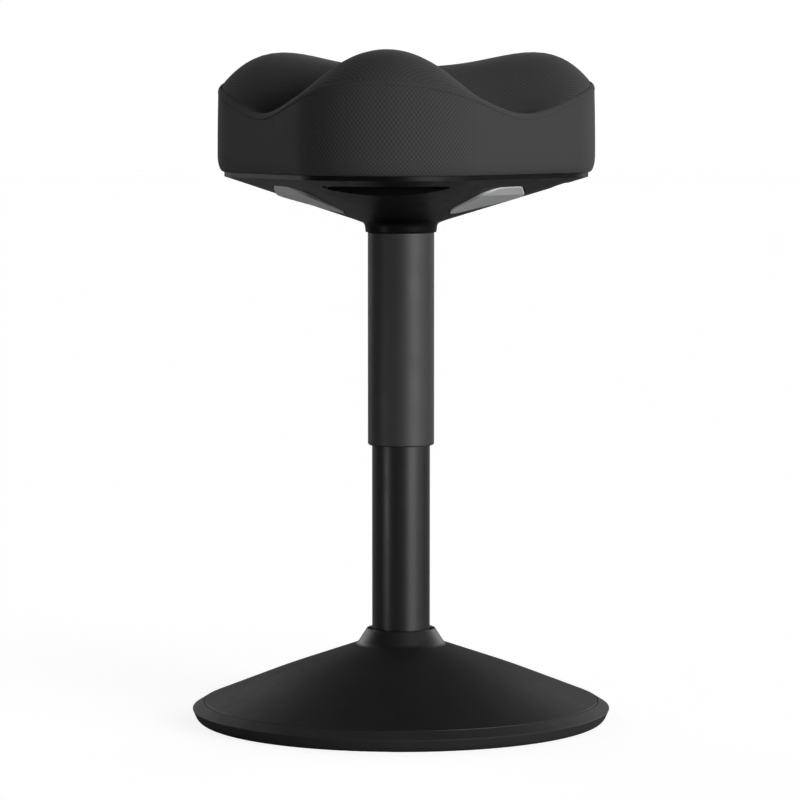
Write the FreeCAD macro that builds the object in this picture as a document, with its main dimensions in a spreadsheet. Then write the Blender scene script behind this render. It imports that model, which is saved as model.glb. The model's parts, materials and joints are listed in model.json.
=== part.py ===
import FreeCAD, Part
import math
import os
import Sketcher

# Perch stool on a telescoping gas column, built as a parametric assembly.
# Millimetres, +Z up, origin on the floor under the column, front corner of the seat toward -Y.
# The lift is modelled fully lowered.

# Driving sizes of the stool
SIZES = {
    # base
    "base_radius": 200.4,
    "rim_band": 11.8,
    "rim_width": 24.4,
    "rim_draft": 5.4,
    "rim_foot_rounding": 9.0,
    "rim_crest_height": 12.4,
    "rim_top_height": 19.5,
    "rim_ledge": 5.0,
    "rim_lip": 3.0,
    "shell_wall": 1.6,
    "shell_bow": 1.75,
    "shell_rounding": 900.0,
    "collar_lip": 3.1,
    "collar_flare": 9.2,
    "collar_foot_height": 74.4,
    "collar_rise": 14.4,
    "plate_height": 3.0,
    "plate_thickness": 5.0,
    "plate_inset": 4.6,
    "plate_bore_radius": 12.0,
    "weight_margin": 11.0,
    "weight_clearance": 8.0,
    "weight_thickness": 18.0,
    "weight_step": 7.0,
    "weight_slope": 25.0,
    # column
    "column_radius": 27.7,
    "column_wall": 2.0,
    "column_gap": 6.0,
    "foot_flange": 12.0,
    "foot_thickness": 7.0,
    "foot_spigot_rise": 5.0,
    "foot_bolt_offset": 14.3,
    "foot_bolt_radius": 4.0,
    "foot_bolt_end": 7.0,
    "foot_head_overhang": 3.5,
    "foot_head_height": 2.6,
    "foot_nut_height": 6.0,
    "foot_nut_overhang": 3.0,
    "guide_length": 90.0,
    "guide_flange": 2.0,
    "guide_relief": 6.0,
    "guide_relief_height": 20.0,
    "guide_relief_run": 10.0,
    # gas spring
    "rod_radius": 5.0,
    "rod_spigot_radius": 4.0,
    "rod_end_rise": 1.0,
    "clip_rise": 1.2,
    "clip_thickness": 1.4,
    "clip_depth": 0.8,
    "clip_width": 5.0,
    "race_radius": 13.0,
    "race_thickness": 2.0,
    "ball_radius": 2.0,
    "ball_circle": 9.5,
    "bump_radius": 11.0,
    "bump_rise": 12.0,
    "bump_waist": 2.0,
    "cylinder_radius": 14.0,
    "cylinder_wall": 2.0,
    "cylinder_drop": 25.0,
    "taper_length": 32.0,
    "taper_draw": 1.2,
    "shoulder_drop": 6.0,
    "shoulder_step": 4.0,
    "piston_height": 262.0,
    "piston_thickness": 14.0,
    "piston_nut": 5.0,
    "seal_depth": 1.6,
    "seal_width": 4.2,
    "gland_rise": 1.0,
    "gland_length": 20.0,
    "valve_radius": 3.0,
    "valve_cap_radius": 8.0,
    "valve_flange": 2.0,
    "valve_lift": 5.5,
    "valve_body_depth": 5.0,
    "valve_pin_depth": 8.0,
    # telescoping sleeve
    "sleeve_gap": 2.2,
    "sleeve_wall": 1.8,
    "sleeve_length": 202.8,
    "sleeve_chamfer": 1.2,
    "sleeve_cap_thickness": 8.0,
    "glide_rise": 2.0,
    "glide_height": 10.0,
    # hub bracket
    "socket_wall": 8.0,
    "socket_length": 23.5,
    "socket_over": 1.0,
    "flange_margin": 3.5,
    "hub_flange_thickness": 5.0,
    "arm_width": 16.0,
    "arm_root": 2.0,
    "boss_inset": 1.0,
    "bolt_circle": 64.0,
    "bolt_radius": 3.0,
    "bolt_short": 2.0,
    "bolt_head_radius": 5.0,
    "bolt_head_height": 4.0,
    "ear_thickness": 3.0,
    "ear_gap": 27.5,
    "ear_width": 13.0,
    "ear_over": 5.7,
    "ear_root": 4.0,
    # pan
    "neck_lip": 2.1,
    "neck_swell": 1.0,
    "neck_depth": 11.6,
    "funnel_flare": 8.2,
    "funnel_depth": 40.5,
    "pan_rim_height": 4.2,
    "pan_reach_inset": 1.0,
    "pan_inset": 6.0,
    "pan_wall": 3.0,
    # grip slots
    "slot_margin": 19.3,
    "slot_arc_inset": 8.3,
    "slot_depth": 32.7,
    "slot_tip_radius": 6.0,
    "cup_wall": 2.5,
    "cup_drop": 1.1,
    "cup_overlap": 0.2,
    "cup_outer_gap": 0.6,
    "cup_half_width": 44.0,
    "cup_screw_across": 30.0,
    "cup_screw_inset": 15.0,
    "cup_screw_radius": 2.0,
    "cup_screw_head": 2.6,
    "cup_screw_short": 3.0,
    "cup_post_radius": 5.0,
    # height paddles
    "lever_pivot": 42.0,
    "lever_pin_radius": 2.0,
    "pin_overhang": 0.5,
    "tongue_thickness": 3.0,
    "tongue_width": 12.0,
    "tongue_tip_gap": 1.0,
    "tongue_play_below": 0.8,
    "tongue_play_above": 0.6,
    "barrel_radius": 5.0,
    "arm_setback": 11.0,
    "arm_reach": 36.0,
    "arm_taper": 2.2,
    "rib_offset": 16.0,
    "rib_drop": 1.0,
    "paddle_tip_across": 32.3,
    "paddle_tip_forward": 36.4,
    "paddle_tip_radius": 17.0,
    "paddle_nose_across": 92.5,
    "paddle_nose_forward": 81.3,
    "paddle_nose_radius": 17.5,
    "paddle_outer_across": 119.5,
    "paddle_heel_forward": 38.4,
    "paddle_heel_radius": 30.0,
    "paddle_tail_back": 2.1,
    "paddle_tail_radius": 7.0,
    "paddle_gap": 1.5,
    "paddle_wall": 3.2,
    "paddle_crease_drop": 15.5,
    "paddle_crease_bulge": 7.0,
    "paddle_flush_drop": 7.5,
    # seat board and cushion
    "cushion_bottom": 525.0,
    "cushion_corner_reach": 99.0,
    "cushion_corner_radius": 97.0,
    "cushion_draw": 5.7,
    "cushion_roll": 16.0,
    "cushion_lean": 2.4,
    "cushion_thickness": 78.1,
    "cover_thickness": 1.8,
    "cover_return": 20.0,
    "crown_rise": 44.4,
    "crown_fall": 50.1,
    "lobe_rise": 75.1,
    "lobe_fall": 59.1,
    "board_thickness": 12.0,
    "board_inset": 20.0,
    "nut_rise": 1.5,
    "nut_barrel_radius": 4.2,
    "nut_flange": 1.4,
    "nut_flange_radius": 9.0,
    # clearances
    "seat_gap": 0.3,
    "running_gap": 0.1,
    "slide_gap": 0.4,
    "collar_gap": 1.8,
}


class Measure:
    """A length that carries the sheet formula it was worked out with."""

    def __init__(self, value, formula):
        self.value = value
        self.formula = formula

    def joined(self, other, sign, value):
        return Measure(value, f"({self.formula} {sign} {other.formula})")

    def __add__(self, other):
        other = measure(other)
        return self.joined(other, "+", self.value + other.value)

    def __radd__(self, other):
        return measure(other) + self

    def __sub__(self, other):
        other = measure(other)
        return self.joined(other, "-", self.value - other.value)

    def __rsub__(self, other):
        return measure(other) - self

    def __mul__(self, other):
        other = measure(other)
        return self.joined(other, "*", self.value * other.value)

    def __rmul__(self, other):
        return measure(other) * self

    def __truediv__(self, other):
        other = measure(other)
        return self.joined(other, "/", self.value / other.value)

    def __neg__(self):
        return Measure(-self.value, f"(-1 * {self.formula})")


def measure(number):
    """Plain numbers join the formulas as they are."""
    if isinstance(number, Measure):
        return number
    return Measure(float(number), repr(float(number)))


class Sheet:
    """The sheet's cells, by alias."""


doc = FreeCAD.newDocument("perch_stool")
cells = doc.addObject("Spreadsheet::Sheet", "Sizes")
size = Sheet()
for row, (alias, number) in enumerate(SIZES.items(), start=1):
    cells.set(f"A{row}", alias)
    cells.set(f"B{row}", str(number))
    cells.setAlias(f"B{row}", alias)
    setattr(size, alias, Measure(number, f"Sizes.{alias}"))
doc.recompute()

UP = FreeCAD.Vector(0, 0, 1)
SIDEWAYS = FreeCAD.Vector(1, 0, 0)
FORWARD = FreeCAD.Vector(0, -1, 0)
COS_30 = math.cos(math.radians(30))
SLOT_SWEEP = math.radians(40)
WALL_RISE = 1.1
WALL_SLANT = 1.1
STRAIGHT = 0.001
CORNERS = 3
nodes = {}


# Sketching

def bind(owner, path, length):
    owner.setExpression(path, measure(length).formula)


def pin_point(sketch, geometry, position, across, up):
    """Hold one point of a sketch at sizes from the sheet."""
    for length, kind, axis in ((across, "DistanceX", -2), (up, "DistanceY", -1)):
        if not isinstance(length, Measure) and length == 0:
            sketch.addConstraint(Sketcher.Constraint("PointOnObject", geometry, position, axis))
            continue
        value = measure(length).value
        place = sketch.addConstraint(Sketcher.Constraint(kind, -1, 1, geometry, position, value))
        bind(sketch, f"Constraints[{place}]", length)


def flat(corner):
    return FreeCAD.Vector(measure(corner[0]).value, measure(corner[1]).value, 0)


def rounding(corners, place):
    """Where the arc at one corner starts and ends, and its centre."""
    here = flat(corners[place])
    back = (flat(corners[place - 1]) - here).normalize()
    ahead = (flat(corners[(place + 1) % len(corners)]) - here).normalize()
    if len(corners[place]) == 2:
        return here, here, None
    radius = measure(corners[place][2]).value
    half = back.getAngle(ahead) / 2
    reach = radius / math.tan(half)
    centre = here + (back + ahead).normalize() * (radius / math.sin(half))
    return here + back * reach, here + ahead * reach, centre


def draw_outline(sketch, corners):
    """Closed outline of straight sides; a corner's third number rounds it."""
    count = len(corners)
    bends = [rounding(corners, place) for place in range(count)]
    sides = []
    for place in range(count):
        start = bends[place][1]
        end = bends[(place + 1) % count][0]
        sides.append(sketch.addGeometry(Part.LineSegment(start, end), False))
    for place, corner in enumerate(corners):
        before = sides[place - 1]
        after = sides[place]
        start, end, centre = bends[place]
        if centre is None:
            sketch.addConstraint(Sketcher.Constraint("Coincident", before, 2, after, 1))
            pin_point(sketch, after, 1, corner[0], corner[1])
            continue
        radius = measure(corner[2]).value
        turn = (start - centre).cross(end - centre).z
        first, last = (start, end) if turn > 0 else (end, start)
        first_angle = math.atan2(first.y - centre.y, first.x - centre.x)
        last_angle = math.atan2(last.y - centre.y, last.x - centre.x)
        circle = Part.Circle(centre, UP, radius)
        arc = sketch.addGeometry(Part.ArcOfCircle(circle, first_angle, last_angle), False)
        near, far = (1, 2) if turn > 0 else (2, 1)
        peak = sketch.addGeometry(Part.Point(flat(corner)), True)
        sketch.addConstraint(Sketcher.Constraint("Tangent", before, 2, arc, near))
        sketch.addConstraint(Sketcher.Constraint("Tangent", arc, far, after, 1))
        held = sketch.addConstraint(Sketcher.Constraint("Radius", arc, radius))
        bind(sketch, f"Constraints[{held}]", corner[2])
        sketch.addConstraint(Sketcher.Constraint("PointOnObject", peak, 1, before))
        sketch.addConstraint(Sketcher.Constraint("PointOnObject", peak, 1, after))
        pin_point(sketch, peak, 1, corner[0], corner[1])


def draw_circle(sketch, across, up, radius):
    centre = FreeCAD.Vector(measure(across).value, measure(up).value, 0)
    circle = sketch.addGeometry(Part.Circle(centre, UP, measure(radius).value), False)
    pin_point(sketch, circle, 3, across, up)
    held = sketch.addConstraint(Sketcher.Constraint("Radius", circle, measure(radius).value))
    bind(sketch, f"Constraints[{held}]", radius)


def origin_part(body, role):
    for feature in body.Origin.OriginFeatures:
        if feature.Role == role:
            return feature
    raise ValueError(role)


def body_sketch(body, name, role, rise=0):
    """A sketch on one of the body's own origin planes, lifted along its normal."""
    sketch = body.newObject("Sketcher::SketchObject", name)
    sketch.AttachmentSupport = [(origin_part(body, role), "")]
    sketch.MapMode = "FlatFace"
    if isinstance(rise, Measure):
        bind(sketch, "AttachmentOffset.Base.z", rise)
    return sketch


def free_sketch(name, rise=0):
    """A sketch of the assembly, level, at a height."""
    sketch = doc.addObject("Sketcher::SketchObject", name)
    if isinstance(rise, Measure):
        bind(sketch, "Placement.Base.z", rise)
    return sketch


# Ways of making a piece

def new_body(name):
    body = doc.addObject("PartDesign::Body", name)
    body.Label = name
    return body


def turned(name, corners):
    """A piece made on the lathe from its half section."""
    body = new_body(name)
    turned_feature(body, name + "_turning", corners)
    nodes[name] = body
    return body


def turned_feature(body, name, corners, kind="PartDesign::Revolution"):
    sketch = body_sketch(body, name + "_section", "XZ_Plane")
    draw_outline(sketch, corners)
    feature = body.newObject(kind, name)
    feature.Profile = sketch
    feature.ReferenceAxis = (sketch, ["V_Axis"])
    feature.Angle = 360
    return feature


def padded(body, sketch, name, length, reverse=False, midplane=False):
    feature = body.newObject("PartDesign::Pad", name)
    feature.Profile = sketch
    feature.Length = measure(length).value
    bind(feature, "Length", length)
    feature.Reversed = reverse
    feature.Midplane = midplane
    return feature


def cut_through(body, sketch, name, upward=True, midplane=False):
    feature = body.newObject("PartDesign::Pocket", name)
    feature.Profile = sketch
    feature.Type = "ThroughAll"
    feature.Reversed = upward
    feature.Midplane = midplane
    return feature


def around(body, name, features, count):
    """Repeat features about the stool's upright axis."""
    pattern = body.newObject("PartDesign::PolarPattern", name)
    pattern.Originals = features
    pattern.Axis = (origin_part(body, "Z_Axis"), [""])
    pattern.Angle = 360
    pattern.Occurrences = count
    body.Tip = pattern
    return pattern


def spun_ring_group(name, centre, corners, count):
    """Like pieces, each turned about its own upright axis, spread in a circle."""
    body = new_body(name)
    body.AllowCompound = True
    sketch = body_sketch(body, name + "_section", "XZ_Plane")
    middle = measure(centre)
    draw_outline(sketch, [(middle + corner[0],) + tuple(corner[1:]) for corner in corners])
    low = FreeCAD.Vector(middle.value, 0, 0)
    high = FreeCAD.Vector(middle.value, 10, 0)
    axis = sketch.addGeometry(Part.LineSegment(low, high), True)
    pin_point(sketch, axis, 1, middle, 0)
    sketch.addConstraint(Sketcher.Constraint("Vertical", axis))
    sketch.addConstraint(Sketcher.Constraint("DistanceY", axis, 1, axis, 2, 10))
    feature = body.newObject("PartDesign::Revolution", name + "_turning")
    feature.Profile = sketch
    feature.ReferenceAxis = (sketch, ["Axis0"])
    feature.Angle = 360
    around(body, name + "_ring", [feature], count)
    nodes[name] = body
    return body


def rounded_triangle(reach, radius):
    """Corners of a three-sided outline with one corner to the front."""
    peak = reach + 2 * radius
    return [
        (0, -peak, radius),
        (peak * COS_30, peak / 2, radius),
        (-(peak * COS_30), peak / 2, radius),
    ]


def level_triangle(name, reach, radius, height):
    sketch = free_sketch(name, height)
    draw_outline(sketch, rounded_triangle(reach, radius))
    return sketch


def lofted(name, sections, ruled=True):
    loft = doc.addObject("Part::Loft", name)
    loft.Sections = sections
    loft.Solid = True
    loft.Ruled = ruled
    return loft


def raised(name, sketch, length):
    """A straight upward extrusion of a level sketch."""
    block = doc.addObject("Part::Extrusion", name)
    block.Base = sketch
    block.DirMode = "Custom"
    block.Dir = UP
    block.Solid = True
    block.LengthFwd = measure(length).value
    bind(block, "LengthFwd", length)
    return block


def common(name, first, second):
    result = doc.addObject("Part::Common", name)
    result.Base = first
    result.Tool = second
    return result


def cut(name, first, second):
    result = doc.addObject("Part::Cut", name)
    result.Base = first
    result.Tool = second
    return result


def keep(name, piece):
    piece.Label = name
    nodes[name] = piece
    return piece


# Base and column: radii and heights that several pieces share
shell_radius = size.base_radius - size.rim_band
rim_inner_radius = size.base_radius - size.rim_width
plate_radius = shell_radius - size.plate_inset
plate_top = size.plate_height + size.plate_thickness
shell_seat_height = size.rim_top_height - size.shell_wall
collar_bore = size.column_radius + size.collar_gap
collar_top_radius = collar_bore + size.collar_lip
collar_foot_radius = collar_top_radius + size.collar_flare
collar_height = size.collar_foot_height + size.collar_rise
column_bore = size.column_radius - size.column_wall
foot_bolt_circle = size.column_radius + size.foot_bolt_offset
foot_radius = foot_bolt_circle + size.foot_flange
foot_top = plate_top + size.foot_thickness

# Bearing, rod and cylinder
race_bottom = foot_top + size.foot_spigot_rise
ball_bottom = race_bottom + size.race_thickness
upper_race_bottom = ball_bottom + 2 * size.ball_radius + size.running_gap / 2
rod_shoulder = upper_race_bottom + size.race_thickness
bump_top = rod_shoulder + size.bump_rise
cylinder_bottom = bump_top + size.seat_gap
cylinder_bore = size.cylinder_radius - size.cylinder_wall
cylinder_top = size.cushion_bottom - size.cylinder_drop
taper_top_radius = size.cylinder_radius - size.taper_draw
taper_bottom = cylinder_top - size.taper_length

# Valve and the paddles' levers
valve_groove_bottom = cylinder_top + size.valve_lift + size.valve_flange
lever_pin_height = valve_groove_bottom + size.tongue_play_below + size.tongue_thickness / 2
lever_top = lever_pin_height + size.barrel_radius
ear_top = lever_pin_height + size.ear_over

# Hub bracket
socket_radius = size.cylinder_radius + size.socket_wall
hub_flange_top = cylinder_top + size.socket_over
hub_flange_height = hub_flange_top - size.hub_flange_thickness
hub_flange_radius = size.lever_pivot + size.ear_width / 2 + size.flange_margin
socket_bottom = hub_flange_height - size.socket_length

# Sleeve, and the pan from its rim down to its neck
sleeve_bore = size.column_radius + size.sleeve_gap
sleeve_radius = sleeve_bore + size.sleeve_wall
neck_radius = sleeve_radius + size.neck_lip
funnel_radius = neck_radius + size.funnel_flare
pan_corner_reach = size.cushion_corner_reach - size.pan_reach_inset
pan_corner_radius = size.cushion_corner_radius - size.pan_inset
pan_top = size.cushion_bottom - size.seat_gap
rim_bottom = pan_top - size.pan_rim_height
funnel_bottom = rim_bottom - size.funnel_depth
neck_bottom = funnel_bottom - size.neck_depth
sleeve_top = neck_bottom - size.slide_gap
sleeve_bottom = sleeve_top - size.sleeve_length
column_top = sleeve_top - size.sleeve_cap_thickness - size.column_gap

# Grip slots, seat board and cushion
slot_reach = pan_corner_reach + pan_corner_radius - size.slot_margin
slot_chord = slot_reach - size.slot_depth
slot_arc_radius = pan_corner_radius - size.slot_arc_inset
cup_top = pan_top - size.cup_drop
cup_ceiling = cup_top - size.cup_wall
cup_screw_forward = slot_chord + size.cup_screw_inset
board_bottom = size.cushion_bottom + size.cover_thickness + size.seat_gap
board_top = board_bottom + size.board_thickness
hub_top = board_bottom - size.seat_gap
crown_height = size.cushion_bottom + size.cushion_thickness


# Base

def make_base():
    ring_lip = plate_top + size.rim_lip
    ledge_radius = shell_radius - size.rim_ledge
    ledge_height = shell_seat_height - size.seat_gap
    turned("rim_ring", [
        (rim_inner_radius, 0, 2),
        (size.base_radius - size.rim_draft, 0, size.rim_foot_rounding),
        (size.base_radius, size.rim_crest_height, 0.8),
        (shell_radius + size.seat_gap, size.rim_top_height, 0.6),
        (shell_radius + size.seat_gap, ledge_height),
        (ledge_radius, ledge_height),
        (ledge_radius, ring_lip),
        (rim_inner_radius, ring_lip, 1),
        (rim_inner_radius, plate_top),
        (plate_radius + size.seat_gap, plate_top),
        (plate_radius + size.seat_gap, size.plate_height),
        (rim_inner_radius, size.plate_height),
    ])
    plate = turned("base_plate", [
        (size.plate_bore_radius, size.plate_height),
        (plate_radius, size.plate_height),
        (plate_radius, plate_top),
        (size.plate_bore_radius, plate_top),
    ])
    drill_foot_holes(plate, 1)
    weight_bore = foot_radius + size.weight_clearance
    weight_radius = rim_inner_radius - size.weight_margin
    weight_top = plate_top + size.weight_thickness
    turned("ballast_disc", [
        (weight_bore, plate_top, 1),
        (weight_radius, plate_top, 1),
        (weight_radius, weight_top - size.weight_step, 4),
        (weight_radius - size.weight_slope, weight_top, 4),
        (weight_bore, weight_top, 3),
    ])
    middle_radius = (shell_radius + collar_foot_radius) / 2
    middle_height = (size.rim_top_height + size.collar_foot_height) / 2 + size.shell_bow
    turned("base_shell", [
        (shell_radius, size.rim_top_height, 0.5),
        (middle_radius, middle_height, size.shell_rounding),
        (collar_foot_radius, size.collar_foot_height, 8),
        (collar_top_radius, collar_height, 1.6),
        (collar_bore, collar_height, 0.8),
        (collar_bore, size.collar_foot_height),
        (collar_foot_radius, size.collar_foot_height - size.shell_wall * WALL_SLANT, 6),
        (middle_radius, middle_height - size.shell_wall * WALL_SLANT, size.shell_rounding),
        (shell_radius, shell_seat_height),
    ])


def drill_foot_holes(body, number):
    sketch = body_sketch(body, f"{body.Name}_holes_{number}", "XY_Plane")
    draw_circle(sketch, foot_bolt_circle, 0, size.foot_bolt_radius + size.running_gap)
    hole = cut_through(body, sketch, f"{body.Name}_hole_{number}")
    around(body, f"{body.Name}_hole_ring_{number}", [hole], 4)


# Column

def make_column():
    turned("column_tube", [
        (column_bore, foot_top),
        (size.column_radius, foot_top),
        (size.column_radius, column_top, 0.5),
        (column_bore, column_top),
    ])
    rod_hole = size.rod_spigot_radius + size.running_gap
    foot = turned("column_foot", [
        (rod_hole, plate_top),
        (foot_radius, plate_top, 0.8),
        (foot_radius, foot_top, 2),
        (column_bore - size.running_gap, foot_top),
        (column_bore - size.running_gap, race_bottom, 1),
        (rod_hole, race_bottom),
    ])
    drill_foot_holes(foot, 1)
    bolt_head = size.foot_bolt_radius + size.foot_head_overhang
    bolt_end = foot_top + size.foot_bolt_end
    head_bottom = size.plate_height - size.foot_head_height
    spun_ring_group("foot_screws", foot_bolt_circle, [
        (0, bolt_end),
        (size.foot_bolt_radius, bolt_end, 0.6),
        (size.foot_bolt_radius, size.plate_height),
        (bolt_head, size.plate_height),
        (bolt_head, head_bottom, 0.6),
        (0, head_bottom),
    ], 4)
    nut_bore = size.foot_bolt_radius + size.running_gap
    nut_radius = size.foot_bolt_radius + size.foot_nut_overhang
    nut_top = foot_top + size.foot_nut_height
    spun_ring_group("foot_nuts", foot_bolt_circle, [
        (nut_bore, foot_top),
        (nut_radius, foot_top),
        (nut_radius, nut_top, 0.8),
        (nut_bore, nut_top),
    ], 4)
    guide_bore = size.cylinder_radius + size.running_gap
    guide_bottom = column_top - size.guide_length
    relief_top = guide_bottom + size.guide_relief_height
    turned("guide_bush", [
        (guide_bore + size.guide_relief, guide_bottom),
        (column_bore - size.running_gap / 2, guide_bottom, 0.8),
        (column_bore - size.running_gap / 2, column_top),
        (size.column_radius, column_top),
        (size.column_radius, column_top + size.guide_flange, 0.8),
        (guide_bore, column_top + size.guide_flange, 0.8),
        (guide_bore, relief_top + size.guide_relief_run, 1),
        (guide_bore + size.guide_relief, relief_top, 1),
    ])


# Gas spring

def make_gas_spring():
    race_bore = size.rod_spigot_radius + size.running_gap
    turned("lower_race", [
        (race_bore, race_bottom),
        (size.race_radius, race_bottom, 0.3),
        (size.race_radius, ball_bottom, 0.3),
        (race_bore, ball_bottom),
    ])
    make_balls()
    turned("upper_race", [
        (race_bore, upper_race_bottom),
        (size.race_radius, upper_race_bottom, 0.3),
        (size.race_radius, rod_shoulder, 0.3),
        (race_bore, rod_shoulder),
    ])
    rod_end = size.plate_height + size.rod_end_rise
    clip_bottom = rod_end + size.clip_rise
    clip_top = clip_bottom + size.clip_thickness
    groove_radius = size.rod_spigot_radius - size.clip_depth
    piston_top = size.piston_height + size.piston_thickness
    turned("piston_rod", [
        (0, rod_end),
        (size.rod_spigot_radius, rod_end, 0.5),
        (size.rod_spigot_radius, clip_bottom),
        (groove_radius, clip_bottom),
        (groove_radius, clip_top),
        (size.rod_spigot_radius, clip_top),
        (size.rod_spigot_radius, rod_shoulder),
        (size.rod_radius, rod_shoulder),
        (size.rod_radius, size.piston_height),
        (size.rod_spigot_radius, size.piston_height),
        (size.rod_spigot_radius, piston_top + size.piston_nut, 0.8),
        (0, piston_top + size.piston_nut),
    ])
    turned("rod_clip", [
        (groove_radius, clip_bottom),
        (groove_radius + size.clip_width, clip_bottom),
        (groove_radius + size.clip_width, clip_top),
        (groove_radius, clip_top),
    ])
    turned("bump_stop", [
        (size.rod_radius, rod_shoulder),
        (size.bump_radius, rod_shoulder, 1.5),
        (size.bump_radius - size.bump_waist, rod_shoulder + size.bump_rise / 2, 2),
        (size.bump_radius, bump_top, 1.5),
        (size.rod_radius, bump_top),
    ])
    seal_radius = cylinder_bore - size.running_gap
    seal_bore = seal_radius - size.seal_depth
    groove_low = size.piston_height + (size.piston_thickness - size.seal_width) / 2
    groove_high = groove_low + size.seal_width
    turned("piston", [
        (size.rod_spigot_radius, size.piston_height),
        (seal_radius, size.piston_height, 0.5),
        (seal_radius, groove_low),
        (seal_bore, groove_low),
        (seal_bore, groove_high),
        (seal_radius, groove_high),
        (seal_radius, piston_top, 0.5),
        (size.rod_spigot_radius, piston_top),
    ])
    turned("piston_seal", [
        (seal_bore, groove_low),
        (seal_radius, groove_low, 0.8),
        (seal_radius, groove_high, 0.8),
        (seal_bore, groove_high),
    ])
    shoulder = taper_bottom - size.shoulder_drop
    valve_seat_radius = taper_top_radius - size.shoulder_step
    turned("gas_cylinder", [
        (cylinder_bore, cylinder_bottom),
        (size.cylinder_radius, cylinder_bottom, 1),
        (size.cylinder_radius, taper_bottom),
        (taper_top_radius, cylinder_top, 0.6),
        (valve_seat_radius, cylinder_top),
        (valve_seat_radius, shoulder),
        (cylinder_bore, shoulder),
    ])
    gland_bottom = cylinder_bottom + size.gland_rise
    gland_top = gland_bottom + size.gland_length
    turned("rod_gland", [
        (size.rod_radius + size.running_gap, gland_bottom),
        (cylinder_bore, gland_bottom),
        (cylinder_bore, gland_top),
        (size.rod_radius + size.running_gap, gland_top),
    ])
    valve_bore = size.valve_radius + size.running_gap
    turned("valve_body", [
        (valve_bore, shoulder - size.valve_body_depth),
        (cylinder_bore, shoulder - size.valve_body_depth, 1),
        (cylinder_bore, shoulder),
        (valve_seat_radius, shoulder),
        (valve_seat_radius, cylinder_top),
        (valve_bore, cylinder_top),
    ])
    cap_bottom = cylinder_top + size.valve_lift
    groove_top = lever_pin_height + size.tongue_thickness / 2 + size.tongue_play_above
    turned("valve_pin", [
        (0, shoulder - size.valve_pin_depth),
        (size.valve_radius, shoulder - size.valve_pin_depth, 0.5),
        (size.valve_radius, cap_bottom),
        (size.valve_cap_radius, cap_bottom, 0.5),
        (size.valve_cap_radius, valve_groove_bottom),
        (size.valve_radius, valve_groove_bottom),
        (size.valve_radius, groove_top),
        (size.valve_cap_radius, groove_top),
        (size.valve_cap_radius, groove_top + size.valve_flange, 0.8),
        (0, groove_top + size.valve_flange),
    ])


def make_balls():
    body = new_body("bearing_balls")
    body.AllowCompound = True
    ball = body.newObject("PartDesign::AdditiveSphere", "bearing_ball")
    ball.AttachmentSupport = [(origin_part(body, "XY_Plane"), "")]
    ball.MapMode = "FlatFace"
    bind(ball, "AttachmentOffset.Base.x", size.ball_circle)
    bind(ball, "AttachmentOffset.Base.z", ball_bottom + size.ball_radius)
    ball.Radius = size.ball_radius.value
    bind(ball, "Radius", size.ball_radius)
    doc.recompute()
    around(body, "bearing_ball_ring", [ball], 10)
    nodes["bearing_balls"] = body


# Sleeve that covers the column as the seat rises

def make_sleeve():
    turned("cover_sleeve", [
        (sleeve_bore, sleeve_bottom),
        (sleeve_radius - size.sleeve_chamfer, sleeve_bottom),
        (sleeve_radius, sleeve_bottom + size.sleeve_chamfer),
        (sleeve_radius, sleeve_top, 0.4),
        (sleeve_bore, sleeve_top),
    ])
    cap_bottom = sleeve_top - size.sleeve_cap_thickness
    turned("sleeve_cap", [
        (size.cylinder_radius, cap_bottom, 0.6),
        (sleeve_bore, cap_bottom, 0.6),
        (sleeve_bore, sleeve_top),
        (size.cylinder_radius, sleeve_top),
    ])
    glide_bottom = sleeve_bottom + size.glide_rise
    turned("sleeve_glide", [
        (size.column_radius + size.slide_gap, glide_bottom, 0.5),
        (sleeve_bore, glide_bottom),
        (sleeve_bore, glide_bottom + size.glide_height),
        (size.column_radius + size.slide_gap, glide_bottom + size.glide_height, 0.5),
    ])


# Hub bracket between the gas spring and the seat board

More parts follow.
